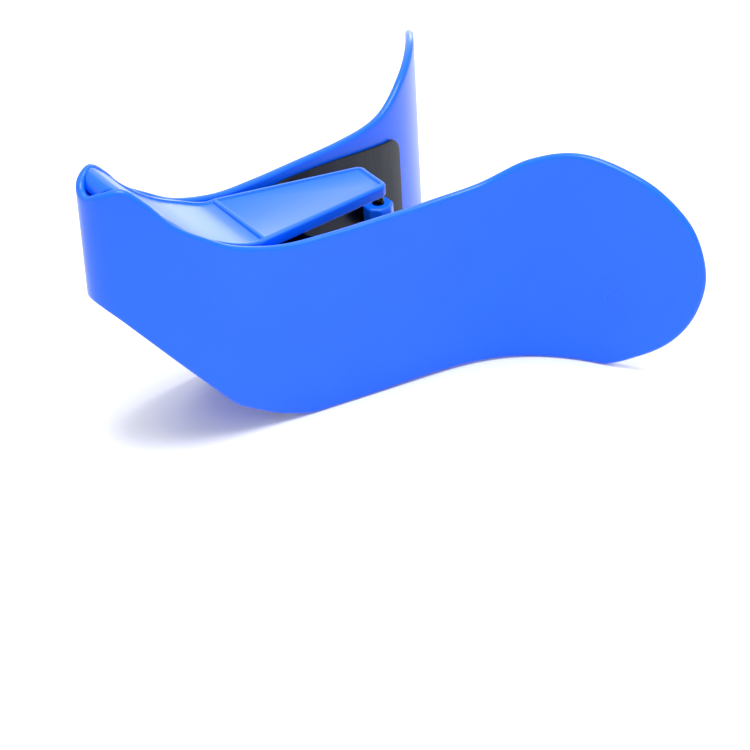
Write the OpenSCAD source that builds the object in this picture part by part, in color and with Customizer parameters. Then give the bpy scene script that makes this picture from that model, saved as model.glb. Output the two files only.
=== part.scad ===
// Squeeze trainer for the inner thighs and hips: one springy moulding, a closed
// narrow end and two long wings that flare into paddles, held open by a U of
// spring steel. Millimetres, +Z up, +X from the closed end to the open end,
// +Y to the left wing. The origin is on the floor under the middle of its length.

/* [Overall] */
// Length from the closed end to the tips of the paddles
total_len = 268; // [225:1:325]
// Thickness of the moulded wall
wall_t = 4.5; // [3:0.5:6]

/* [Plan of the wall] */
// Middle radius of the bend at the closed end
bend_r = 14.5; // [12:0.5:18]
// Angle that the bend still makes with the length where its arc stops
bend_exit = 32; // [24:0.5:40]
// Length of wall over which the legs straighten after the bend
ease_len = 49; // [38:1:60]
// Angle of each straight leg to the length
leg_angle = 5.8; // [3:0.1:9]
// Distance along the wall, from the closed end, where a paddle starts to flare
flare_start = 169; // [140:1:203]
// Length of wall over which the paddle flares
flare_len = 102; // [82:1:125]
// Angle that the flare adds to the leg angle
flare_angle = 52; // [34:1:63]

/* [Side outline] */
// Height of the lower corner at the closed end
corner_z = 87.5; // [74:0.5:105]
// Height of the upper edge at the closed end
nose_z = 140.4; // [126:0.2:169]
// Distance of the hump from the closed end
hump_x = 14.5; // [11:0.5:18]
// Height of the hump
hump_z = 147.5; // [132:0.5:178]
// Height of the upper edge along the waist
waist_z = 97.8; // [94:0.1:112]
// Distance of the belly, the front rest, from the closed end
belly_x = 114; // [100:1:128]
// Distance of the lowest and highest stretch of a paddle from the closed end
paddle_x = 231; // [215:1:240]
// Height of a paddle
paddle_z = 117.7; // [106:0.1:142]
// Height of the paddle tip
tip_z = 60; // [50:1:72]
// Rise of the lower edge between the belly and the paddle
arch_rise = 0.6; // [0.4:0.1:5]

/* [Flexing line] */
// Distance of the line where a wing flexes from the closed end
hinge_x = 94; // [90:0.5:102]
// Gap between a wing's rounded root and its seat
hinge_gap = 0.3; // [0.2:0.05:0.5]

/* [Cross wall] */
// Distance of the cross wall's middle from the closed end
cross_x = 85.5; // [84:0.5:87.5]
// Thickness of the cross wall
cross_t = 3; // [2:0.5:4]
// Height of the cross wall's lower edge
cross_low = 9; // [7:0.5:24]

/* [Tongue] */
// Distance where the ramp turns into the flat plate, from the closed end
rib_x = 81.5; // [77:0.1:83]
// Half width of the plate at its wide end
plate_half = 25.3; // [20:0.1:26.5]
// Half width of the plate at its free end
plate_end_half = 12.2; // [10:0.1:18]
// Distance of the plate's free end from the closed end
plate_end_x = 161; // [135:0.5:164]
// Thickness of the plate
plate_t = 6.2; // [4:0.1:7.5]
// Fall of the plate towards its free end, in degrees
plate_fall = 2.1; // [0:0.1:4]
// Height of the plate's upper face where it starts
plate_z = 101; // [100.4:0.1:118]
// Width of the raised border and of the cross rib
border_w = 2.6; // [1.5:0.1:4]
// Depth of the plate's panel below its border
panel_depth = 1; // [0.4:0.1:1.6]
// Radius of the plate's free corners
plate_corner_r = 4.5; // [2:0.5:7]
// Thickness of the ramp
ramp_t = 3; // [2:0.5:4]
// How far the ramp lies below the wall's upper edge
ramp_drop = 1.3; // [0.5:0.1:5]
// Distance of the ramp's rolled free end from the closed end
ramp_x = 6; // [5.5:0.1:12]

/* [Spring plate] */
// Thickness of the spring steel
spring_t = 1.2; // [0.8:0.1:2]
// Gap between the steel and the wing
spring_gap = 0.4; // [0.2:0.1:1]
// Distance of the middle of the steel's bend from the closed end
spring_x = 100.5; // [99:0.5:106]
// Distance of the ends of the steel's arms from the closed end
spring_end_x = 205; // [198:1:214]
// Height of the steel's lower edge along its arms
spring_low = 9; // [6:0.5:20]
// How much higher the lower edge is at the steel's bend
spring_bend_rise = 12; // [0:0.5:16]
// Height of the steel's upper edge at its bend
spring_high = 92.6; // [84:0.1:93]
// Height of the steel's upper edge at the ends of its arms
spring_end_high = 86.3; // [76:0.1:93]
// Radius of the steel's free corners
spring_corner_r = 10; // [4:1:16]

/* [Retaining bosses] */
// Distance of the bosses from the closed end
boss_x = 180; // [176:0.5:184]
// Distance of a boss's axis from the middle of the object
boss_y = 29; // [27.5:0.1:29.3]
// Width of a boss across its flats
boss_w = 14.6; // [12:0.2:15]
// Height of the left boss
left_boss_h = 15; // [12:0.5:20]
// Height of the left boss's top above the floor
left_boss_top = 62; // [54:0.5:72]
// Height of the right boss
right_boss_h = 12; // [11:0.5:16]
// Height of the right boss's top above the floor
right_boss_top = 46; // [38:0.5:56]
// Diameter of the stem that joins a boss to its wing
stem_d = 9; // [6:0.5:10]
// Radial gap between the stem and its hole in the steel
stem_gap = 0.5; // [0.3:0.1:1]

/* [Retaining pins] */
// Diameter of a pin
pin_d = 6.4; // [5:0.1:7.6]
// Depth of the blind hole that holds a pin
pin_depth = 8; // [5:0.5:10]
// Height by which a pin stands above its boss
pin_proud = 4; // [2:0.5:6]
// Radial gap between a pin and its hole
pin_gap = 0.05; // [0.02:0.01:0.1]

/* [Hidden] */

BLUE = "#3b7bff";
BLACK = "#2a2c30";
step_len = 4;          // spacing of the plan's points along the wall
curve_steps = 6;       // points for each span of a smooth edge
reach = 400;           // longer than anything that it cuts
rest_len = 26;         // straight stretch of the belly that touches the floor
paddle_rest_len = 14;  // straight stretch of a paddle that touches the floor

// ---- the wall in plan -------------------------------------------------------
// The wall's direction turns from straight across, at the closed end, round an
// arc to bend_exit, eases to leg_angle, and then flares by flare_angle.
bend_len = bend_r * (90 - bend_exit) * PI / 180;
function smooth(u) = let (c = min(max(u, 0), 1)) c * c * (3 - 2 * c);
function heading(s) = s < bend_len
    ? 90 - (90 - bend_exit) * s / bend_len
    : leg_angle + (bend_exit - leg_angle) * (1 - smooth((s - bend_len) / ease_len))
      + flare_angle * smooth((s - flare_start) / flare_len);
function along(a) = [cos(a), sin(a)];
function left_of(a) = [-sin(a), cos(a)];

plan_count = ceil(total_len * 1.45 / step_len);
// Middle line of the wall: [point, heading] for each step.
middle = [for (i = 0, p = [wall_t / 2, 0]; i <= plan_count;
               p = p + step_len * along(heading((i + 0.5) * step_len)), i = i + 1)
          [p, heading(i * step_len)]];
function side_line(d) = [for (m = middle) m[0] + d * left_of(m[1])];
function y_at(line, x) = lookup(x, [for (p = line) [p[0], p[1]]]);
inner_line = side_line(-wall_t / 2);
outer_line = side_line(wall_t / 2);
hinge_y = y_at([for (m = middle) m[0]], hinge_x);
knuckle_r = wall_t / 2 - 0.05;  // a hair inside the wall's two faces

function reversed(v) = [for (i = [len(v) - 1:-1:0]) v[i]];

function mirrored(v) = [for (p = v) [p[0], -p[1]]];
module half_wall_plan() polygon(concat(outer_line, reversed(inner_line)));
module whole_wall_plan() polygon(concat(reversed(outer_line), mirrored(outer_line),
    reversed(mirrored(inner_line)), inner_line));
// Everything between the wall's inner faces.
module inside_plan() polygon(concat(reversed(inner_line), mirrored(inner_line)));
// The part of the plane on one side of the flexing line: from = 0 is past it,
// from = -reach is before it.
module hinge_side_plan(from) translate([hinge_x, hinge_y]) rotate(leg_angle)
    translate([from, -reach / 2]) square([reach, reach]);

// ---- smooth edges -----------------------------------------------------------
// A Catmull-Rom curve through the points p. The points before and after it set
// its direction at its two ends.
function span(a, b, c, d, t) =
    0.5 * (2 * b + (c - a) * t + (2 * a - 5 * b + 4 * c - d) * t * t + (3 * b - a - 3 * c + d) * t * t * t);
function curve(p, before, after) = let (q = concat([before], p, [after]), n = len(p))
    concat([for (i = [1:n - 1], k = [0:curve_steps - 1]) span(q[i - 1], q[i], q[i + 1], q[i + 2], k / curve_steps)],
           [p[n - 1]]);
// The point that makes a curve run level where it starts at p and goes on to q.
function level(p, q) = [2 * p[0] - q[0], q[1]];

front_rest = belly_x - rest_len / 2;
back_rest = belly_x + rest_len / 2;
paddle_front = paddle_x - paddle_rest_len / 2;
paddle_back = paddle_x + paddle_rest_len / 2;
arch_len = paddle_front - back_rest;
tip_len = total_len - paddle_back;
crown_rise = paddle_z - tip_z;
waist_x = (back_rest + paddle_front) / 2;
nose_rise = hump_z - waist_z;

// Lower edge of the side view, from the closed end to the tip: down to the belly,
// over the arch, and round the heel of the paddle.
belly_turn = [[front_rest - 45, 20.3], [front_rest - 31, 11.1], [front_rest - 17, 4.1], [front_rest, 0]];
arch = [[back_rest, 0], [back_rest + arch_len * 0.24, arch_rise * 0.95],
        [back_rest + arch_len * 0.5, arch_rise], [paddle_front - arch_len * 0.22, arch_rise * 0.7],
        [paddle_front, 0]];
// Round the paddle from its heel to the waist, and up over the hump to the nose.
crown = [[paddle_back, 0], [paddle_back + tip_len * 0.37, tip_z * 0.137],
         [total_len - tip_len * 0.317, tip_z * 0.343], [total_len - tip_len * 0.1, tip_z * 0.632],
         [total_len, tip_z], [total_len - tip_len * 0.085, tip_z + crown_rise * 0.395],
         [total_len - tip_len * 0.3, tip_z + crown_rise * 0.671],
         [total_len - tip_len * 0.62, tip_z + crown_rise * 0.873], [paddle_back - 4, paddle_z],
         [paddle_front - 8, paddle_z - 4.6], [paddle_front - 31, waist_z + (paddle_z - waist_z) * 0.2],
         [waist_x - 10, waist_z + 0.6], [waist_x - 38, waist_z], [hinge_x + 18, waist_z - 0.2],
         [hinge_x - 6, waist_z + 1.1], [hump_x + 50, waist_z + nose_rise * 0.157],
         [hump_x + 33, waist_z + nose_rise * 0.366], [hump_x + 20, waist_z + nose_rise * 0.563],
         [hump_x + 9, waist_z + nose_rise * 0.833], [hump_x, hump_z], [hump_x * 0.36, hump_z - 2],
         [0, nose_z]];
// A point on the straight edge up to the corner, as far back as the turn's points are apart.
straight_lead = belly_turn[0] + ([0, corner_z] - belly_turn[0]) * (belly_turn[1][0] - belly_turn[0][0]) / belly_turn[0][0];
belly_line = curve(belly_turn, straight_lead, level(belly_turn[3], belly_turn[2]));
arch_line = curve(arch, level(arch[0], arch[1]), level(arch[4], arch[3]));
crown_line = curve(crown, level(crown[0], crown[1]), [-hump_x, nose_z - (hump_z - nose_z)]);
// Height of the upper edge over the closed end and the waist.
function top_at(x) = lookup(x, [for (p = crown_line) if (p[1] > tip_z + crown_rise / 2 && p[0] < waist_x) p]);

module side_outline() polygon(concat(
    [[-wall_t, corner_z + wall_t], [0, corner_z]], belly_line, arch_line, crown_line, [[-wall_t, nose_z]]));

// ---- placing ----------------------------------------------------------------
module placed() translate([-total_len / 2, 0, 0]) children();
module from_side() rotate([90, 0, 0]) linear_extrude(reach, center = true) children();
module upright() linear_extrude(reach / 2) children();
module other_side(flip) mirror([0, flip ? 1 : 0, 0]) children();

// ---- moulding ---------------------------------------------------------------
module closed_end() color(BLUE) placed() intersection() {
    upright() difference() {
        whole_wall_plan();
        for (flip = [0, 1]) mirror([0, flip]) {
            hinge_side_plan(0);
            translate([hinge_x, hinge_y]) circle(wall_t / 2 + hinge_gap, $fn = 48);
        }
    }
    from_side() side_outline();
}

module wing(flip) color(BLUE) placed() other_side(flip) intersection() {
    upright() difference() {
        half_wall_plan();
        difference() {
            hinge_side_plan(-reach);
            translate([hinge_x, hinge_y]) circle(knuckle_r, $fn = 48);
        }
    }
    from_side() side_outline();
}
module left_wing() wing(false);
module right_wing() wing(true);

// Runs children() in the plate's own frame: x along the fall, z up from its top.
module on_plate() translate([rib_x, 0, plate_z]) rotate([0, plate_fall, 0]) children();
plate_len = (plate_end_x - rib_x) / cos(plate_fall);

// Plate outline, d inside its edge; its free corners are arcs.
module plate_plan(d) {
    slope = atan((plate_half - plate_end_half) / plate_len);
    r = plate_corner_r - d;
    cx = plate_len - plate_corner_r;
    cy = plate_end_half + plate_corner_r * tan(slope) - plate_corner_r / cos(slope);
    start_half = plate_half - d / cos(slope);
    polygon(concat([[-plate_t, start_half]],
        [for (a = [90 - slope:-(90 - slope) / 6:-0.01]) [cx, cy] + r * along(a)],
        [for (a = [0:-(90 - slope) / 6:slope - 90.01]) [cx, -cy] + r * along(a)],
        [[-plate_t, -start_half]]));
}

module tongue_plate() color(BLUE) placed() intersection() {
    on_plate() difference() {
        translate([0, 0, -plate_t]) linear_extrude(plate_t) plate_plan(0);
        translate([0, 0, -panel_depth]) linear_extrude(plate_t) intersection() {
            plate_plan(border_w);
            translate([border_w, -reach / 2]) square(reach);
        }
    }
    translate([rib_x, -reach / 2, 0]) cube(reach);
}

// The ramp follows the wall's upper edge, and its free end rolls down in an arc.
roll_r = 7;
ramp_steps = 14;
module tongue_ramp() color(BLUE) placed() intersection() {
    upright() inside_plan();
    from_side() {
        roll_x = ramp_x + roll_r;
        top = [for (i = [0:ramp_steps]) let (x = roll_x + (rib_x - roll_x) * i / ramp_steps)
               [x, top_at(x) - ramp_drop]];
        c = [roll_x, top[0][1] - roll_r];
        under = [for (i = [ramp_steps:-1:1]) top[i] - [0, ramp_t * 1.25]];
        polygon(concat([for (a = [180:-15:105]) c + roll_r * along(a)], top, under,
                       [for (a = [90:15:180]) c + (roll_r - ramp_t) * along(a)]));
    }
}

module cross_wall() color(BLUE) placed() difference() {
    intersection() {
        upright() inside_plan();
        translate([cross_x - cross_t / 2, -reach / 2, cross_low]) cube([cross_t, reach, plate_z]);
    }
    on_plate() translate([-reach / 2, -reach / 2, -plate_t]) cube(reach);
}

// ---- spring steel -----------------------------------------------------------
spring_inset = wall_t / 2 + spring_gap + spring_t / 2;
spring_middle = side_line(-spring_inset);
// The bend is one arc that meets both straight arms without a corner.
spring_r = cos(leg_angle) * y_at(spring_middle, spring_x) / (1 - sin(leg_angle));
arc_x = spring_x + spring_r;
arm_from = arc_x - spring_r * sin(leg_angle);
// One edge of the steel's plan, d outside its middle: the right arm, the bend, the left arm.
function spring_edge(d) = let (
    arm = [for (p = side_line(d - spring_inset)) if (p[0] > arm_from + 0.5) p],
    turn = [for (i = [-16:16]) [arc_x, 0] + (spring_r + d) * along(180 + (90 - leg_angle) * i / 16)])
    concat(reversed(arm), turn, mirrored(arm));
module spring_plan() polygon(concat(spring_edge(spring_t / 2), reversed(spring_edge(-spring_t / 2))));

// The lower edge comes down from the bend to the arms; the upper edge falls towards their ends.
spring_turn_len = 36;
spring_side_steps = 12;
function steel_low(x) = spring_low + spring_bend_rise * (1 - smooth((x - spring_x) / spring_turn_len));
function steel_high(x) = let (u = (x - hinge_x) / (spring_end_x - spring_corner_r - hinge_x))
    spring_high - (spring_high - spring_end_high) * u * u * u;

module spring_side() {
    c = [spring_end_x - spring_corner_r, spring_low + spring_corner_r];
    d = [spring_end_x - spring_corner_r, spring_end_high - spring_corner_r];
    low_x = [for (i = [0:spring_side_steps - 1]) hinge_x + (c[0] - hinge_x) * i / spring_side_steps];
    polygon(concat([for (x = low_x) [x, steel_low(x)]],
        [for (a = [-90:15:0]) c + spring_corner_r * along(a)],
        [for (a = [0:15:90]) d + spring_corner_r * along(a)],
        [for (x = reversed(low_x)) [x, steel_high(x)]]));
}

module spring_plate() color(BLACK) placed() difference() {
    intersection() {
        upright() spring_plan();
        from_side() spring_side();
    }
    stem_hole(false, left_boss_top - left_boss_h / 2);
    stem_hole(true, right_boss_top - right_boss_h / 2);
}

module stem_hole(flip, z) other_side(flip) translate([boss_x, boss_y, z])
    rotate([-90, 0, 0]) cylinder(h = reach / 8, d = stem_d + 2 * stem_gap, $fn = 48);

// ---- bosses and pins --------------------------------------------------------
// An eight-sided post with its hole, and a round stem cut to the wing's inner face.
module boss(flip, h, top) color(BLUE) placed() other_side(flip) difference() {
    union() {
        translate([boss_x, boss_y, top - h]) rotate(22.5)
            cylinder(h = h, d = boss_w / cos(22.5), $fn = 8);
        intersection() {
            upright() inside_plan();
            translate([boss_x, boss_y, top - h / 2]) rotate([-90, 0, 0])
                cylinder(h = reach / 8, d = stem_d, $fn = 48);
        }
    }
    translate([boss_x, boss_y, top - pin_depth])
        cylinder(h = pin_depth + 1, d = pin_d + 2 * pin_gap, $fn = 48);
}
module left_boss() boss(false, left_boss_h, left_boss_top);
module right_boss() boss(true, right_boss_h, right_boss_top);

// A plain pin with a domed head end.
module pin(flip, top) color(BLACK) placed() other_side(flip) translate([boss_x, boss_y, top - pin_depth])
    rotate_extrude($fn = 48) {
        square([pin_d / 2, pin_depth + pin_proud - pin_d / 2]);
        intersection() {
            translate([0, pin_depth + pin_proud - pin_d / 2]) circle(pin_d / 2, $fn = 48);
            square([pin_d, pin_depth + pin_proud]);
        }
    }
module left_pin() pin(false, left_boss_top);
module right_pin() pin(true, right_boss_top);

closed_end();
cross_wall();
tongue_ramp();
tongue_plate();
left_wing();
right_wing();
spring_plate();
left_boss();
right_boss();
left_pin();
right_pin();
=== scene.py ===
# %% [markdown]
# # A spring clip for the thighs and hips
# The real object is one blue plastic moulding, squeezed between the thighs against a U of black spring steel.
# The moulding starts as a narrow bend, runs out as two long legs, and flares into two paddles. A tongue closes the
# top between the legs. This lesson builds its looks around the measured frame: the frame gives the size and the
# joints, and each piece here is a smooth surface that stands for one or more of the frame's nodes.

# %% Load the frame
import math

import bmesh
import bpy
import numpy as np
from mathutils import Matrix, Vector


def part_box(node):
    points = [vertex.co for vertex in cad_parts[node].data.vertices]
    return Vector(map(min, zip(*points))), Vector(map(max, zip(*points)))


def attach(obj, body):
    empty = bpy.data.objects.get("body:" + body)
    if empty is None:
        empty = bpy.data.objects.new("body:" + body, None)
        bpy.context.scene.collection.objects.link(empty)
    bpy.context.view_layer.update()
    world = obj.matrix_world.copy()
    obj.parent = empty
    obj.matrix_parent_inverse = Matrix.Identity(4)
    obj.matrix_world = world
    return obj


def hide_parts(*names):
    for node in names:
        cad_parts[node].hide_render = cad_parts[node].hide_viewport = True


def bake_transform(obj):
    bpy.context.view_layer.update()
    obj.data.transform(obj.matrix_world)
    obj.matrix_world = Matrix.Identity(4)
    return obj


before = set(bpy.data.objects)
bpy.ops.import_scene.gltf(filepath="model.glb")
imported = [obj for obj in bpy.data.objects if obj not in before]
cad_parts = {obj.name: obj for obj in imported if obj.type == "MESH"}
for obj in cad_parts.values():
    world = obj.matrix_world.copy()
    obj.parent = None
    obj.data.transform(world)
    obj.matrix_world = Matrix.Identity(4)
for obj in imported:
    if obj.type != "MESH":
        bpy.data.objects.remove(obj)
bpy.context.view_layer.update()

LENGTH = 1000 * (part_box("left_wing")[1].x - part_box("closed_end")[0].x)
print("frame length in mm:", round(LENGTH, 2))

# %% [markdown]
# ## The wall in plan
# Seen from above, the wall is one line: it starts straight across at the closed end, turns round an arc, eases into
# a straight leg, and then flares outwards. A line like that could be drawn by hand with a Bezier curve. It is given
# here by its heading, the direction at each distance along the wall, because a heading that changes smoothly can't
# make a bump. Adding up small steps in that direction gives the line.

# %% The wall in plan
WALL_T = 4.5          # thickness of the moulded wall, mm
BEND_R = 14.5         # middle radius of the bend
BEND_EXIT = 32.0      # angle left when the arc stops, degrees
EASE_LEN = 49.0       # length over which the leg straightens
LEG_ANGLE = 5.8       # angle of a straight leg to the length
FLARE_START = 169.0   # distance along the wall where the paddle starts to flare
FLARE_LEN = 102.0
FLARE_ANGLE = 52.0
BEND_LEN = math.radians(90 - BEND_EXIT) * BEND_R
PLAN_STEP = 0.25


def smooth(u):
    """Eases from 0 to 1 as 3u^2 - 2u^3, with u held between 0 and 1."""
    u = np.clip(u, 0, 1)
    return u * u * (3 - 2 * u)


def heading(s):
    """Direction of the wall in radians, s mm from the closed end: an arc, then an easing plus the flare."""
    arc = 90 - (90 - BEND_EXIT) * s / BEND_LEN
    ease = (BEND_EXIT - LEG_ANGLE) * (1 - smooth((s - BEND_LEN) / EASE_LEN))
    leg = LEG_ANGLE + ease + FLARE_ANGLE * smooth((s - FLARE_START) / FLARE_LEN)
    return np.radians(np.where(s < BEND_LEN, arc, leg))


way = np.arange(0, 400, PLAN_STEP)
turn = heading(way + PLAN_STEP / 2)
mid_x = WALL_T / 2 + PLAN_STEP * np.concatenate([[0], np.cumsum(np.cos(turn))[:-1]])
mid_y = PLAN_STEP * np.concatenate([[0], np.cumsum(np.sin(turn))[:-1]])


def wall_point(s, z, d):
    """A point s mm along the wall, z mm up and d mm out of its middle. A negative s is the right side, mirrored."""
    a, h = np.abs(s), heading(np.abs(s))
    x = np.interp(a, way, mid_x) - d * np.sin(h)
    y = np.interp(a, way, mid_y) + d * np.cos(h)
    return np.stack([x, np.where(s < 0, -y, y), z + 0 * x], -1)


def way_at(x):
    """Distance along the wall at which its middle is x mm from the closed end."""
    return np.interp(x, mid_x, way)


def inner_half(x):
    """Half the room between the wall's inner faces, x mm from the closed end."""
    inside = wall_point(way, 0 * way, -WALL_T / 2)
    return np.interp(x, inside[:, 0], inside[:, 1])


print("middle of the wall is", round(float(np.interp(94, mid_x, mid_y)), 2), "mm out at the flexing line")

# %% [markdown]
# ## The side outline
# Seen from the side, the wall has a high nose, a low waist and a rounded paddle, and below it a belly, a shallow arch
# and the paddle's heel. Smooth edges like these pass through a few points that matter, and a Catmull-Rom curve runs
# through its points without a corner, so the points stay easy to read.

# %% The side outline
CORNER_Z, NOSE_Z, HUMP_X, HUMP_Z = 87.5, 140.4, 14.5, 147.5
WAIST_Z, HINGE_X, BELLY_X = 97.8, 94.0, 114.0
PADDLE_X, PADDLE_Z, TIP_Z, ARCH_RISE = 231.0, 117.7, 60.0, 0.6
BELLY_HALF, PADDLE_HALF = 13.0, 7.0   # half of each straight stretch that rests on the floor
belly_a, belly_b = BELLY_X - BELLY_HALF, BELLY_X + BELLY_HALF
heel_a, heel_b = PADDLE_X - PADDLE_HALF, PADDLE_X + PADDLE_HALF
arch, tip = heel_a - belly_b, LENGTH - heel_b
crown, nose = PADDLE_Z - TIP_Z, HUMP_Z - WAIST_Z
waist_x = (belly_b + heel_a) / 2


def curve(points, before, after, steps=12):
    """Catmull-Rom curve through points: each span is a cubic whose end slopes follow the points on either side."""
    q = np.array([before, *points, after], float)
    a, b, c, d = (q[i:len(q) - 3 + i, None] for i in range(4))
    t = np.arange(steps)[None, :, None] / steps
    line = 0.5 * (2 * b + (c - a) * t + (2 * a - 5 * b + 4 * c - d) * t**2 + (3 * b - a - 3 * c + d) * t**3)
    return np.vstack([line.reshape(-1, 2), q[-2:-1]])


def level(p, q):
    """The point that makes a curve run level where it starts at p and goes on to q."""
    return (2 * p[0] - q[0], q[1])


belly_points = [(belly_a - 45, 20.3), (belly_a - 31, 11.1), (belly_a - 17, 4.1), (belly_a, 0)]
arch_points = [(belly_b, 0), (belly_b + arch * .24, ARCH_RISE * .95), (belly_b + arch * .5, ARCH_RISE),
               (heel_a - arch * .22, ARCH_RISE * .7), (heel_a, 0)]
heel_points = [(heel_b, 0), (heel_b + tip * .37, TIP_Z * .137), (LENGTH - tip * .317, TIP_Z * .343),
               (LENGTH - tip * .1, TIP_Z * .632), (LENGTH, TIP_Z)]
top_points = [(LENGTH, TIP_Z), (LENGTH - tip * .085, TIP_Z + crown * .395), (LENGTH - tip * .3, TIP_Z + crown * .671),
              (LENGTH - tip * .62, TIP_Z + crown * .873), (heel_b - 4, PADDLE_Z), (heel_a - 8, PADDLE_Z - 4.6),
              (heel_a - 31, WAIST_Z + (PADDLE_Z - WAIST_Z) * .2), (waist_x - 10, WAIST_Z + .6),
              (waist_x - 38, WAIST_Z), (HINGE_X + 18, WAIST_Z - .2), (HINGE_X - 6, WAIST_Z + 1.1),
              (HUMP_X + 50, WAIST_Z + nose * .157), (HUMP_X + 33, WAIST_Z + nose * .366),
              (HUMP_X + 20, WAIST_Z + nose * .563), (HUMP_X + 9, WAIST_Z + nose * .833), (HUMP_X, HUMP_Z),
              (HUMP_X * .36, HUMP_Z - 2), (0, NOSE_Z)]
# A point on the straight edge up to the corner, as far back as the turn's points are apart.
lead_x = 2 * belly_points[0][0] - belly_points[1][0]
straight_lead = (lead_x, np.interp(lead_x, [0, belly_points[0][0]], [CORNER_Z, belly_points[0][1]]))
low_line = np.vstack([
    [[0, CORNER_Z]],
    curve(belly_points, straight_lead, level(belly_points[-1], belly_points[-2])),
    curve(arch_points, level(*arch_points[:2]), level(*arch_points[:-3:-1])),
    curve(heel_points, level(*heel_points[:2]), top_points[1]),
])
high_line = curve(top_points, heel_points[-2], (-HUMP_X, 2 * NOSE_Z - HUMP_Z))[::-1]
for line in (low_line, high_line):
    line[:, 0] = np.maximum.accumulate(np.minimum(line[:, 0], LENGTH))


def low_edge(x):
    """Height of the wall's lower edge, x mm from the closed end."""
    return np.interp(x, low_line[:, 0], low_line[:, 1])


def high_edge(x):
    """Height of the wall's upper edge, x mm from the closed end."""
    return np.interp(x, high_line[:, 0], high_line[:, 1])


print("upper edge at the waist:", round(float(high_edge(waist_x)), 1), "mm, at the hump:",
      round(float(high_edge(HUMP_X)), 1))

# %% [markdown]
# ## Turning arrays into pieces
# Every piece below ends as arrays of points in millimetres and of faces. One helper puts them into a mesh. It merges
# the points where a grid closes on itself, points all faces outwards, and shades the mesh smooth except across
# corners sharper than 50 degrees.

# %% Turning arrays into pieces
MM = 0.001


def to_row(points):
    """From mm measured from the closed end to metres in the frame, whose origin is under the middle."""
    p = np.array(points, float).reshape(-1, 3)
    p[:, 0] -= LENGTH / 2
    return p * MM


def grid_faces(rows, columns, wrap=False):
    """The quads of a grid of points stored row by row; wrap joins the last column to the first."""
    r, c = np.meshgrid(np.arange(rows - 1), np.arange(columns if wrap else columns - 1), indexing="ij")
    n = (c + 1) % columns
    return np.stack([r * columns + c, r * columns + n, (r + 1) * columns + n, (r + 1) * columns + c], -1).reshape(-1, 4)


def piece(name, parts):
    """One object from (points, faces) parts: doubles merged, faces outwards, shaded smooth with sharp corners kept."""
    points, faces, base = [], [], 0
    for p, f in parts:
        p = to_row(p)
        points.append(p)
        faces += [[int(i) + base for i in face] for face in f]
        base += len(p)
    mesh = bpy.data.meshes.new(name)
    mesh.from_pydata(np.vstack(points).tolist(), [], faces)
    b = bmesh.new()
    b.from_mesh(mesh)
    bmesh.ops.remove_doubles(b, verts=b.verts, dist=1e-6)
    bmesh.ops.dissolve_degenerate(b, edges=b.edges, dist=1e-7)
    bmesh.ops.recalc_face_normals(b, faces=b.faces)
    open_edges = sum(not e.is_manifold for e in b.edges)
    b.to_mesh(mesh)
    b.free()
    mesh.shade_smooth()
    mesh.set_sharp_from_angle(angle=math.radians(50))
    obj = bpy.data.objects.new(name, mesh)
    bpy.context.scene.collection.objects.link(obj)
    print(f"{name}: {len(mesh.polygons)} faces, {open_edges} open edges")
    return obj


# %% [markdown]
# ## A sheet with a rounded edge
# The wall, its wings and the spring steel are all sheets: an outline, a thickness, and an edge that the mould or the
# press has rounded. A Solidify and a Bevel modifier could do it, but a bevel breaks up where an outline curves
# tightly. Here the outline is given as pairs of points, one on each edge, and each pair makes one closed ring round
# the sheet: up one face, over the rounded edge, down the other face and under. Rings side by side make the sheet.

# %% A sheet with a rounded edge
def edge_profile(thick, radius, steps=5):
    """Inset and height of a rounded edge from one face to the other: a quarter circle, a flat, a quarter circle."""
    a = np.linspace(0, np.pi / 2, steps + 1)
    inset, lift = radius * (1 - np.sin(a)), thick / 2 - radius * (1 - np.cos(a))
    return np.concatenate([inset, inset[::-1]]), np.concatenate([lift, -lift[::-1]])


def outward(edge, side, end=None):
    """Unit direction out of the sheet along an edge: its tangent turned a quarter turn to that side."""
    t = np.gradient(edge, axis=0)
    n = side * np.stack([-t[:, 1], t[:, 0]], 1)
    n /= np.linalg.norm(n, axis=1, keepdims=True)
    if end is not None:
        n[-1] = end
    return n


def sheet(low, high, thick, radius, place, rows=24, closed_end=False, keep=slice(None)):
    """Rings round a sheet whose edges are the paired points low and high, in the sheet's own flat coordinates.
    place(u, v, d) puts a point u along, v up and d out of the middle into space. closed_end rounds the last edge.
    keep picks the rings to build, so that two sheets can share a seam: the rings past it only set its direction."""
    inset, lift = edge_profile(thick, radius)
    end = (1, 0) if closed_end else None
    top = (high[:, None] - outward(high, 1, end)[:, None] * inset[None, :, None])[keep]
    under = (low[:, None] - outward(low, -1, end)[:, None] * inset[None, ::-1, None])[keep]
    share = (np.arange(1, rows) / rows)[None, :, None]
    face = under[:, -1:] * (1 - share) + top[:, :1] * share
    back = under[:, :1] * share + top[:, -1:] * (1 - share)
    uv = np.concatenate([face, top, back, under], axis=1)
    d = np.concatenate([np.full(rows - 1, thick / 2), lift, np.full(rows - 1, -thick / 2), lift[::-1]])
    n, m = uv.shape[:2]
    parts = [(place(uv[..., 0], uv[..., 1], d + 0 * uv[..., 0]), list(grid_faces(n, m, wrap=True)))]
    if closed_end:
        share = np.linspace(0, 1, rows + 1)[:, None, None]
        line = low[-1] * (1 - share) + high[-1] * share - np.array([1, 0]) * inset[None, :, None]
        edge = place(line[..., 0], line[..., 1], lift + 0 * line[..., 0])
        parts.append((edge, list(grid_faces(rows + 1, len(lift)))))
    first = place(uv[0, :, 0], uv[0, :, 1], d)
    parts.append((first, [list(range(m))]))
    if not closed_end:
        parts.append((place(uv[-1, :, 0], uv[-1, :, 1], d), [list(range(m))]))
    return parts


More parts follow.
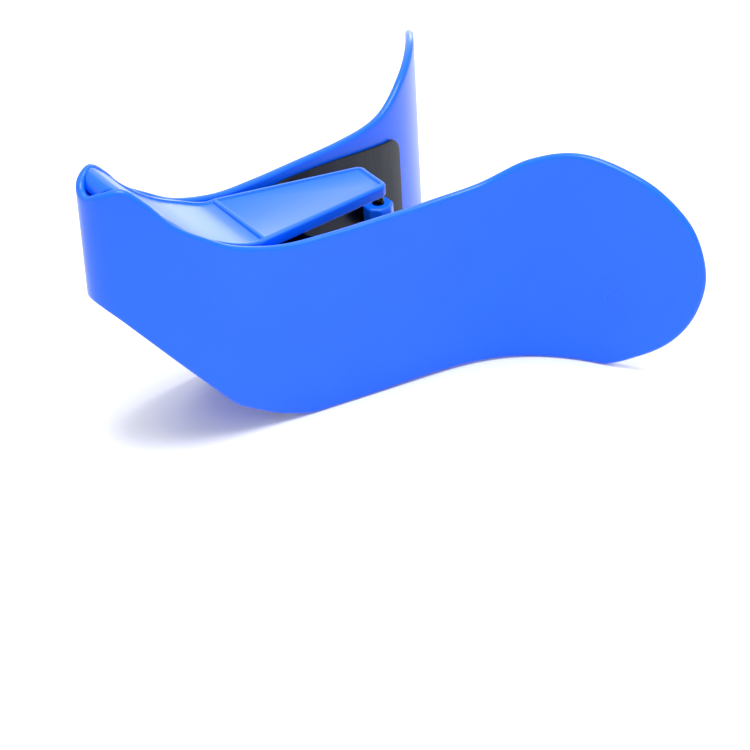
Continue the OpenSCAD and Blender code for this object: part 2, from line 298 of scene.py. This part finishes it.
# %% [markdown]
# ## The closed end and the wings
# The blue wall is one moulding, but it has to flex: each wing swings about an upright line beside the cross wall.
# So it is built as three sheets that share their rings at a seam on the straight leg, just before that line. The
# middle one stays with the moulding.

# %% The closed end
RIM_R = 2.1      # the mould leaves the rim almost fully round
SEAM_X = 86.0     # where the wings take over, on the straight leg
FLEX_END_X = 112.0


def edges_at(x, s=None):
    """Paired points of the wall's lower and upper edge at stations x, as distance along the wall and height."""
    s = way_at(x) if s is None else s
    return np.stack([s, low_edge(x)], -1), np.stack([s, high_edge(x)], -1)


seam_s = float(way_at(SEAM_X))
SEAM_STEP = 0.5   # the rings just before and after the seam are the same on both sheets
s_seam = seam_s + SEAM_STEP * np.array([-1, 0, 1])
s_bend = np.concatenate([-s_seam[::-1], np.linspace(2 - seam_s, seam_s - 2, 159), s_seam])
low, high = edges_at(np.interp(np.abs(s_bend), way, mid_x), s_bend)
closed_end = piece("closed_end_shell", sheet(low, high, WALL_T, RIM_R, wall_point, keep=slice(1, -1)))

# %% The wings
tip_turn = float(heading(way_at(LENGTH)))
tip_trim = RIM_R * (1 - math.cos(tip_turn)) + 0.1   # the rounded tip stays inside the frame's box
x_body = np.concatenate([np.interp(s_seam, way, mid_x), np.linspace(SEAM_X + 2, heel_b - 10, 89)])
x_tip = x_body[-1] + (LENGTH - x_body[-1]) * np.sin(np.linspace(0, np.pi / 2, 70))[1:]
x_wing = np.concatenate([x_body, x_tip])
s_wing = way_at(x_wing - tip_trim * smooth((x_wing - waist_x) / (LENGTH - waist_x)))
low, high = edges_at(x_wing, s_wing)
low[-1, 1] = high[-1, 1] = TIP_Z
wings = {}
for side, sign in (("left", 1), ("right", -1)):
    mirror = lambda s, z, d, sign=sign: wall_point(s, z, d) * np.array([1, sign, 1])
    wings[side] = piece(f"{side}_wing_shell", sheet(low, high, WALL_T, RIM_R, mirror, closed_end=True,
                                                     keep=slice(1, None)))

# %% [markdown]
# ## The cross wall
# A thin bulkhead ties the two legs together under the tongue. Where it meets the legs the mould has a fillet, a
# hollow rounding that keeps the corner from cracking, so its thickness grows near each leg along a circle's arc.

# %% The cross wall
CROSS_X, CROSS_T, CROSS_LOW, FILLET_R = 85.5, 3.0, 9.0, 3.0
PLATE_FALL, PLATE_X, PLATE_Z, PLATE_T = math.radians(2.1), 81.5, 101.0, 6.2


def cross_half_t(y, half):
    """Half the thickness y mm out: even in the middle, plus a fillet arc within its radius of a leg."""
    near = np.clip(FILLET_R - (half - np.abs(y)), 0, FILLET_R)
    return CROSS_T / 2 + FILLET_R - np.sqrt(FILLET_R**2 - near**2 * 0.999)


def cross_point(u, v, d):
    """Point of the cross wall: u across, v up, and d the share of the half thickness."""
    half = float(inner_half(CROSS_X))
    return np.stack([CROSS_X + d * cross_half_t(u, half), u, v], -1)


half = float(inner_half(CROSS_X)) + 0.6
u = half * np.sin(np.linspace(-np.pi / 2, np.pi / 2, 41))
roof = PLATE_Z - PLATE_T - (CROSS_X - PLATE_X) * math.tan(PLATE_FALL) + 1.0
low, high = np.stack([u, 0 * u + CROSS_LOW], -1), np.stack([u, 0 * u + roof], -1)
share = lambda u, v, d: cross_point(u, v, d / (CROSS_T / 2))
cross_wall = piece("cross_bulkhead", sheet(low, high, CROSS_T, 1.2, share, rows=12))

# %% [markdown]
# ## The tongue
# The tongue has two parts. The ramp is a thin skin that falls from the nose and fills the room between the legs, and
# its free end rolls down beside the bend. The plate is flat and tapers to rounded corners, with a raised border that
# runs on as a rail along each side of the ramp, a cross rib where it meets the ramp, and a rounded skirt. The ramp is
# a profile carried across the object. The plate is a stack of outlines, each set in from the last, so every edge of
# it is rounded by the same small table.

# %% The plate
PLATE_HALF, PLATE_END_HALF, PLATE_END_X = 25.3, 12.2, 161.0
BORDER_W, PANEL_DEPTH, CORNER_R, RIB_CORNER_R = 2.6, 1.0, 4.5, 0.4
BORDER_EDGE = 0.8   # width of the soft step from the border down to the panel
plate_len = (PLATE_END_X - PLATE_X) / math.cos(PLATE_FALL)


def outline(corners, radii, inset, steps=8):
    """A convex outline set in by inset, with round corners: each corner moves in along its two edges, and an arc
    about it runs from one edge's outward direction to the next one's."""
    c, r = np.array(corners, float), np.array(radii, float)
    edge = np.roll(c, -1, 0) - c
    n2 = np.stack([edge[:, 1], -edge[:, 0]], 1) / np.linalg.norm(edge, axis=1, keepdims=True)
    n1 = np.roll(n2, 1, 0)
    move = np.maximum(r, inset)[:, None] / (1 + (n1 * n2).sum(1, keepdims=True))
    core = c - (n1 + n2) * move
    a1, a2 = np.arctan2(n1[:, 1], n1[:, 0]), np.arctan2(n2[:, 1], n2[:, 0])
    a2 = a1 + (a2 - a1) % (2 * np.pi)
    a = a1[:, None] + (a2 - a1)[:, None] * np.linspace(0, 1, steps + 1)
    arc = np.maximum(r - inset, 1e-3)[:, None, None] * np.stack([np.cos(a), np.sin(a)], -1)
    return (core[:, None] + arc).reshape(-1, 2)


def rounding(inset, z, radius, start, stop, steps=6):
    """Insets and heights round a quarter circle of that radius about (inset, z), from angle start to stop."""
    a = np.radians(np.linspace(start, stop, steps + 1))
    return [(inset - radius * np.cos(t), z + radius * np.sin(t)) for t in a]


def stack(corners, radii, profile, place):
    """Outlines stacked by the profile's (inset, height) pairs, with the first and the last one filled."""
    rings = [outline(corners, radii, inset) for inset, _ in profile]
    xyz = np.stack([place(ring[:, 0], ring[:, 1], z + 0 * ring[:, 0]) for ring, (_, z) in zip(rings, profile)])
    n, m = xyz.shape[:2]
    ends = [list(range(m)), list(range((n - 1) * m, n * m))]
    return [(xyz, list(grid_faces(n, m, wrap=True)) + ends)]


def plate_point(p, q, z):
    """Point of the plate: p along its fall from the rib, q across, z above its upper face."""
    c, s = math.cos(PLATE_FALL), math.sin(PLATE_FALL)
    return np.stack([PLATE_X + p * c + z * s, q, PLATE_Z - p * s + z * c], -1)


TOP_R, UNDER_R = 1.5, 0.6
step = [(BORDER_W + (t - 0.5) * BORDER_EDGE, -PANEL_DEPTH * smooth(t)) for t in np.linspace(0, 1, 7)]
plate_profile = (rounding(UNDER_R, -PLATE_T + UNDER_R, UNDER_R, -90, 0) + rounding(TOP_R, -TOP_R, TOP_R, 0, 90)
                 + [(float(i), float(z)) for i, z in step])
plate_corners = [(0, -PLATE_HALF), (plate_len, -PLATE_END_HALF), (plate_len, PLATE_END_HALF), (0, PLATE_HALF)]
plate_radii = [RIB_CORNER_R, CORNER_R, CORNER_R, RIB_CORNER_R]
tongue_plate = piece("tongue_plate_shell", stack(plate_corners, plate_radii, plate_profile, plate_point))

# %% The ramp
RAMP_T, RAMP_DROP, RAMP_X, ROLL_R = 3.0, 1.3, 6.0, 7.0
RAIL_W, RAIL_H = BORDER_W, 0.9   # the plate's border runs on along both sides of the ramp
RAIL_FROM, RAIL_GROW = 16.0, 20.0   # where the rails start, and the length over which they rise
SKIRT_X = 56.0   # from here on the ramp's sides leave the legs and narrow to the plate
roll_x = RAMP_X + ROLL_R
x_ramp = np.linspace(roll_x, PLATE_X + 1.2, 60)
RAMP_END_Z = PLATE_Z - PANEL_DEPTH - 0.1
# One smooth fifth-degree curve follows the wall's edge at first and meets the plate without a corner.
x_wall, x_plate = np.linspace(HUMP_X, HINGE_X - 30, 40), np.linspace(PLATE_X - 5, PLATE_X + 3, 20)
z_wall, z_plate = high_edge(x_wall) - RAMP_DROP, RAMP_END_Z - (x_plate - PLATE_X) * math.tan(PLATE_FALL)
x_fit, z_fit = np.concatenate([x_wall, x_plate]), np.concatenate([z_wall, z_plate])
ramp_top = np.polyval(np.polyfit(x_fit - PLATE_X, z_fit, 5), x_ramp - PLATE_X)
print("ramp above the rib's foot by", round(float(ramp_top[-1] - RAMP_END_Z), 2), "mm at its end")
roll = np.radians(np.linspace(180, 105, 12))[:-1]
ramp_line = np.vstack([np.stack([roll_x + ROLL_R * np.cos(roll), ramp_top[0] - ROLL_R + ROLL_R * np.sin(roll)], 1),
                       np.stack([x_ramp, ramp_top], 1)])
ramp_way = np.concatenate([[0], np.cumsum(np.linalg.norm(np.diff(ramp_line, axis=0), axis=1))])


def ramp_point(u, v, d):
    """Point of the ramp: v mm along its profile, u across, d out of its middle, square to the profile, with a rail
    on its upper face near each side."""
    x, z = np.interp(v, ramp_way, ramp_line[:, 0]), np.interp(v, ramp_way, ramp_line[:, 1])
    e = 0.8
    dx = np.interp(v + e, ramp_way, ramp_line[:, 0]) - np.interp(v - e, ramp_way, ramp_line[:, 0])
    dz = np.interp(v + e, ramp_way, ramp_line[:, 1]) - np.interp(v - e, ramp_way, ramp_line[:, 1])
    size = np.hypot(dx, dz)
    rail_foot = np.minimum(inner_half(x), ramp_half(x)) - RAIL_W - np.abs(u)
    across = 1 - smooth((rail_foot + BORDER_EDGE / 2) / BORDER_EDGE)
    rail = RAIL_H * across * smooth((x - RAIL_FROM) / RAIL_GROW)
    d = d - RAMP_T / 2 + rail * (d > 0)
    return np.stack([x - d * dz / size, u, z + d * dx / size], -1)


def ramp_half(x):
    """Half the ramp's width: into the legs at first, then narrowing to the plate's width."""
    full = inner_half(x) + 0.8
    return full + (PLATE_HALF - full) * smooth((x - SKIRT_X) / (PLATE_X - SKIRT_X))


v = ramp_way
side = ramp_half(ramp_line[:, 0])
ramp_sheet = lambda u, v, d: ramp_point(v, u, d)
tongue_ramp = piece("tongue_ramp_shell", sheet(np.stack([v, -side], -1), np.stack([v, side], -1), RAMP_T, 1.4,
                                               ramp_sheet, rows=120))

# %% [markdown]
# ## The spring steel
# A U of spring steel lies against the inside of the wings and pushes them apart. It is a strip with rounded free
# corners, bent along one arc and then following the wings. Its two halves are separate pieces that meet in the
# middle of the bend.

# %% The spring steel
SPRING_T, SPRING_GAP, SPRING_X, SPRING_END_X = 1.2, 0.4, 100.5, 205.0
SPRING_LOW, SPRING_HIGH, SPRING_END_HIGH, SPRING_R = 9.0, 92.6, 86.3, 10.0
SPRING_RISE, SPRING_TURN = 12.0, 36.0   # how much higher the lower edge is at the bend, and over what length
spring_inset = WALL_T / 2 + SPRING_GAP + SPRING_T / 2
leg = math.radians(LEG_ANGLE)
arm = wall_point(way, 0 * way, -spring_inset)
bend_r = math.cos(leg) * float(np.interp(SPRING_X, arm[:, 0], arm[:, 1])) / (1 - math.sin(leg))
bend_x = SPRING_X + bend_r
bend = np.radians(np.linspace(180, 90 + LEG_ANGLE, 60))
bend_line = np.stack([bend_x + bend_r * np.cos(bend), bend_r * np.sin(bend)], 1)
arm_line = arm[(arm[:, 0] > bend_line[-1, 0] + 0.5) & (arm[:, 0] < SPRING_END_X + 8)][::4, :2]
spring_line = np.vstack([bend_line, arm_line])
spring_way = np.concatenate([[0], np.cumsum(np.linalg.norm(np.diff(spring_line, axis=0), axis=1))])


def spring_point(u, z, d):
    """Point of the steel, u mm along its middle line, z up and d out of it, square to the line."""
    x, y = np.interp(u, spring_way, spring_line[:, 0]), np.interp(u, spring_way, spring_line[:, 1])
    e = 1.0
    dx = np.interp(u + e, spring_way, spring_line[:, 0]) - np.interp(u - e, spring_way, spring_line[:, 0])
    dy = np.interp(u + e, spring_way, spring_line[:, 1]) - np.interp(u - e, spring_way, spring_line[:, 1])
    dx = np.where(u < e, 0, dx)
    size = np.hypot(dx, dy)
    return np.stack([x - d * dy / size, y + d * dx / size, z + 0 * x], -1)


u_end = float(np.interp(SPRING_END_X, spring_line[:, 0], spring_way))
corner = np.linspace(0, np.pi / 2, 13)
u_flat = np.linspace(0, u_end - SPRING_R, 80)
u_all = np.concatenate([u_flat, u_flat[-1] + SPRING_R * np.sin(corner[1:])])
x_all = np.interp(u_all, spring_way, spring_line[:, 0])
fall = (SPRING_HIGH - SPRING_END_HIGH) * np.clip((x_all - HINGE_X) / (SPRING_END_X - SPRING_R - HINGE_X), 0, 1)**3
rise = SPRING_RISE * (1 - smooth((x_all - SPRING_X) / SPRING_TURN))
cut = np.concatenate([0 * u_flat, SPRING_R * (1 - np.cos(corner[1:]))])
low = np.stack([u_all, SPRING_LOW + rise + cut], -1)
high = np.stack([u_all, SPRING_HIGH - fall - cut], -1)
springs = {}
for side, sign in (("left", 1), ("right", -1)):
    mirror = lambda u, z, d, sign=sign: spring_point(u, z, d) * np.array([1, sign, 1])
    springs[side] = piece(f"{side}_spring_arm", sheet(low, high, SPRING_T, 0.4, mirror, rows=20, closed_end=True))

# %% [markdown]
# ## Bosses and pins
# Each wing carries a boss, a stout post with eight soft sides that keeps the steel in its place, on a round stem
# that reaches through the steel. A black pin with a domed head sits in the top of each boss.

# %% Bosses and pins
BOSS_X, BOSS_Y, BOSS_W, STEM_R, PIN_R = 180.0, 29.0, 14.6, 4.5, 3.2
BOSS_TOP = {"left": 62.0, "right": 46.0}
BOSS_H = {"left": 15.0, "right": 12.0}
PIN_PROUD = 4.0
BOSS_CORNER = BOSS_W / 2 / math.cos(math.pi / 8)   # from the axis to a corner of the eight-sided post
octagon = [(BOSS_CORNER * math.cos(a), BOSS_CORNER * math.sin(a)) for a in np.radians(22.5 + 45 * np.arange(8))]


def ring(radius, steps=32):
    """Points of a circle as two arrays."""
    a = np.arange(steps) * 2 * np.pi / steps
    return radius * np.cos(a), radius * np.sin(a)


def lathe(profile, place, steps=32):
    """A profile of (radius, height) pairs turned about the axis."""
    xyz = np.stack([place(*ring(r, steps), z + np.zeros(steps)) for r, z in profile])
    n, m = xyz.shape[:2]
    return [(xyz, list(grid_faces(n, m, wrap=True)) + [list(range(m)), list(range((n - 1) * m, n * m))])]


bosses, pins = {}, {}
for side, sign in (("left", 1), ("right", -1)):
    top, h = BOSS_TOP[side], BOSS_H[side]
    stand = lambda x, y, z: np.stack([BOSS_X + x, sign * (BOSS_Y + y), top + z], -1)
    lying = lambda x, y, z: np.stack([BOSS_X + x, sign * (BOSS_Y + z), top - h / 2 + y], -1)
    profile = rounding(1.0, -h + 1.0, 1.0, -90, 0) + rounding(1.6, -1.6, 1.6, 0, 90)
    reach = float(inner_half(BOSS_X)) + 1.0 - BOSS_Y
    bosses[side] = piece(f"{side}_boss_post", stack(octagon, [2.2] * 8, profile, stand)
                         + lathe([(STEM_R, 0), (STEM_R, reach)], lying))
    dome = [(PIN_R * math.cos(t), PIN_PROUD - PIN_R + PIN_R * math.sin(t)) for t in np.radians(np.linspace(0, 88, 9))]
    pins[side] = piece(f"{side}_pin_head", lathe([(PIN_R, -2.0)] + dome, stand))

# %% [markdown]
# ## Finishes
# Three finishes cover the object. A helper adds a shader node with its settings and links, and another turns the
# sRGB colours that a colour picker shows into the linear numbers that a shader needs.

# %% Helpers for finishes
def linear(hex_colour):
    """sRGB hex to linear: each channel to the power 2.4 after the standard offset."""
    c = np.array([int(hex_colour[i:i + 2], 16) / 255 for i in (1, 3, 5)])
    return (*np.where(c <= 0.04045, c / 12.92, ((c + 0.055) / 1.055) ** 2.4), 1.0)


def add(tree, kind, settings=None, links=None):
    """Adds a node: settings are its properties or socket values, links its inputs by name."""
    node = tree.nodes.new(kind)
    for key, value in (settings or {}).items():
        if key in node.inputs:
            node.inputs[key].default_value = value
        else:
            setattr(node, key, value)
    for key, source in (links or {}).items():
        tree.links.new(source, node.inputs[key])
    return node


def material(name, **values):
    """A Principled material with plain socket values, its tree and its shader node."""
    m = bpy.data.materials.new(name)
    m.use_nodes = True
    shader = m.node_tree.nodes["Principled BSDF"]
    for key, value in values.items():
        shader.inputs[key.replace("_", " ")].default_value = value
    return m, m.node_tree, shader


# %% [markdown]
# ### Moulded polypropylene
# The moulding is polypropylene from a polished mould: a deep blue with a clear, slightly soft gloss. The mould's fine
# texture scatters the gloss a little and takes some of its mirror part away, and handling leaves it uneven, so the
# roughness wanders over a few centimetres. The texture's bump is drawn coarser than on the real part, so that it shows.

# %% Moulded polypropylene
SCALE = {"wander": 1 / 0.035, "grain": 1 / 0.0011}   # cells per metre: 35 mm clouds, 1.1 mm grain drawn coarse to show
blue, tree, shader = material("moulded polypropylene, blue", IOR=1.49, Roughness=0.28, Specular_IOR_Level=0.36)
place = add(tree, "ShaderNodeTexCoord").outputs["Object"]
wander = add(tree, "ShaderNodeTexNoise", {"Scale": SCALE["wander"], "Detail": 2.0, "Roughness": 0.4}, {"Vector": place})
rough = add(tree, "ShaderNodeMapRange", {"From Min": 0.1, "From Max": 0.9, "To Min": 0.26, "To Max": 0.32},
            {"Value": wander.outputs["Fac"]})
tree.links.new(rough.outputs["Result"], shader.inputs["Roughness"])
colour = add(tree, "ShaderNodeValToRGB", None, {"Fac": wander.outputs["Fac"]})
colour.color_ramp.elements[0].position, colour.color_ramp.elements[1].position = 0.1, 0.9
colour.color_ramp.elements[0].color, colour.color_ramp.elements[1].color = linear("#025cee"), linear("#0462f6")
tree.links.new(colour.outputs["Color"], shader.inputs["Base Color"])
grain = add(tree, "ShaderNodeTexNoise", {"Scale": SCALE["grain"], "Detail": 2.0}, {"Vector": place})
bump = add(tree, "ShaderNodeBump", {"Strength": 0.03, "Distance": 0.0001}, {"Height": grain.outputs["Fac"]})
tree.links.new(bump.outputs["Normal"], shader.inputs["Normal"])

# %% [markdown]
# ### Black spring steel
# Spring steel is blackened in an oil bath after it is hardened. The film is a thin dark oxide with the gloss of the
# rolled strip under it. The blank is cut across the roll, so soft streaks run up and down it and draw its
# reflections out.

# %% Black spring steel
steel, tree, shader = material("oil-blackened spring steel", Metallic=1.0)
place = add(tree, "ShaderNodeTexCoord").outputs["Object"]
stretch = add(tree, "ShaderNodeMapping", None, {"Vector": place})
stretch.inputs["Scale"].default_value = (1.0, 1.0, 0.12)
lines = add(tree, "ShaderNodeTexNoise", {"Scale": 1 / 0.012, "Detail": 6.0, "Roughness": 0.6},
            {"Vector": stretch.outputs["Vector"]})
rough = add(tree, "ShaderNodeMapRange", {"From Min": 0.3, "From Max": 0.7, "To Min": 0.26, "To Max": 0.38},
            {"Value": lines.outputs["Fac"]})
tree.links.new(rough.outputs["Result"], shader.inputs["Roughness"])
colour = add(tree, "ShaderNodeValToRGB", None, {"Fac": lines.outputs["Fac"]})
colour.color_ramp.elements[0].position, colour.color_ramp.elements[1].position = 0.25, 0.75
colour.color_ramp.elements[0].color, colour.color_ramp.elements[1].color = linear("#2c2d31"), linear("#3a3b3f")
tree.links.new(colour.outputs["Color"], shader.inputs["Base Color"])

# %% Black pins
black, tree, shader = material("black oxide steel pin", Metallic=1.0, Roughness=0.22)
place = add(tree, "ShaderNodeTexCoord").outputs["Object"]
cloud = add(tree, "ShaderNodeTexNoise", {"Scale": 1 / 0.002, "Detail": 3.0}, {"Vector": place})
colour = add(tree, "ShaderNodeValToRGB", None, {"Fac": cloud.outputs["Fac"]})
colour.color_ramp.elements[0].color, colour.color_ramp.elements[1].color = linear("#141416"), linear("#2a2b2e")
tree.links.new(colour.outputs["Color"], shader.inputs["Base Color"])

# %% [markdown]
# ## Joining the pieces to the frame
# Each piece gets its finish, and the frame's parts for the nodes that it stands for are hidden. The closed end, the
# cross wall, the tongue, the bosses and the pins ride on a body of the frame.

# %% Joining the pieces to the frame
def finish_piece(obj, mat, slot, *nodes):
    """Gives a piece its material and hides the frame's parts for the nodes that it stands for; slot is not used."""
    obj.data.materials.clear()
    obj.data.materials.append(mat)
    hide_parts(*nodes)


for obj, node in ((closed_end, "closed_end"), (cross_wall, "cross_wall"), (tongue_plate, "tongue_plate"),
                  (tongue_ramp, "tongue_ramp")):
    finish_piece(obj, blue, "blue_polypropylene", node)
    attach(obj, "moulding")

LEG_Y = 32.0               # the wall's middle at the flexing line
ARM_X, ARM_Y = 130.0, 33.0   # where an arm of the steel is past its bend
for side, sign in (("left", 1), ("right", -1)):
    body = f"{side}_side"
    finish_piece(wings[side], blue, "blue_polypropylene", f"{side}_wing")
    start, end = (to_row([x, sign * LEG_Y, 0])[0] for x in (SEAM_X + 1, FLEX_END_X))
    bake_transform(wings[side])
    finish_piece(springs[side], steel, "black_spring_steel", "spring_plate")
    start, end = to_row([SPRING_X, 0, 0])[0], to_row([ARM_X, sign * ARM_Y, 0])[0]
    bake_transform(springs[side])
    finish_piece(bosses[side], blue, "blue_polypropylene", f"{side}_boss")
    finish_piece(pins[side], black, "black_pin_steel", f"{side}_pin")
    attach(bosses[side], body)
    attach(pins[side], body)

# %% [markdown]
# ## The floor, the light and the camera
# The object stands on a white table in a light tent: white all round, with a soft lamp above, one behind for the gloss
# on the plate, and a small low one behind for the brighter gloss on the ramp.
# The plain Standard view keeps the saturated blue that a filmic view would wash out.

# %% Floor and light
scene = bpy.context.scene
scene.view_settings.view_transform = "Standard"

floor_mesh = bpy.data.meshes.new("floor")
FLOOR = 6.0   # half the table's width, m
floor_mesh.from_pydata([(x * FLOOR, y * FLOOR, 0) for x, y in ((-1, -1), (1, -1), (1, 1), (-1, 1))], [], [(0, 1, 2, 3)])
floor = bpy.data.objects.new("floor", floor_mesh)
scene.collection.objects.link(floor)
paper, tree, shader = material("white table", Base_Color=(0.86, 0.87, 0.88, 1), Roughness=0.6)
floor_mesh.materials.append(paper)

world = bpy.data.worlds.new("light tent")
scene.world = world
world.use_nodes = True
world.node_tree.nodes["Background"].inputs["Color"].default_value = (1, 1, 1, 1)
world.node_tree.nodes["Background"].inputs["Strength"].default_value = 0.95


def lamp(name, place, aim, size, power):
    """A square soft lamp at place, turned to face aim."""
    data = bpy.data.lights.new(name, "AREA")
    data.size, data.energy = size, power
    obj = bpy.data.objects.new(name, data)
    scene.collection.objects.link(obj)
    obj.location = place
    obj.rotation_euler = (Vector(aim) - Vector(place)).to_track_quat("-Z", "Y").to_euler()
    return obj


lamp("overhead softbox", (0.0, -0.15, 1.3), (0, 0, 0), 0.7, 17)
lamp("back softbox", (0.75, 1.1, 0.80), (0, 0, 0.1), 1.3, 5)
lamp("low back softbox", (0.95, 1.05, 0.17), (0, 0, 0.08), 0.36, 1.3)

# %% Camera
AZIMUTH, ELEVATION, ROLL = (math.radians(a) for a in (-31.304, 32.759, -3.328))
DISTANCE, AIM, LENS = 1.6504, Vector((0.02050, 0, -0.01739)), 154.65
back = Vector((math.sin(AZIMUTH) * math.cos(ELEVATION), -math.cos(AZIMUTH) * math.cos(ELEVATION), math.sin(ELEVATION)))
right = Vector((math.cos(AZIMUTH), math.sin(AZIMUTH), 0))
up = back.cross(right)
right, up = (right * math.cos(ROLL) + up * math.sin(ROLL), up * math.cos(ROLL) - right * math.sin(ROLL))
camera_data = bpy.data.cameras.new("camera")
camera_data.lens, camera_data.sensor_width, camera_data.clip_start, camera_data.clip_end = LENS, 36.0, 0.01, 50.0
camera = bpy.data.objects.new("camera", camera_data)
scene.collection.objects.link(camera)
pose = Matrix((right, up, back)).transposed().to_4x4()
pose.translation = AIM + DISTANCE * back
camera.matrix_world = pose
scene.camera = camera
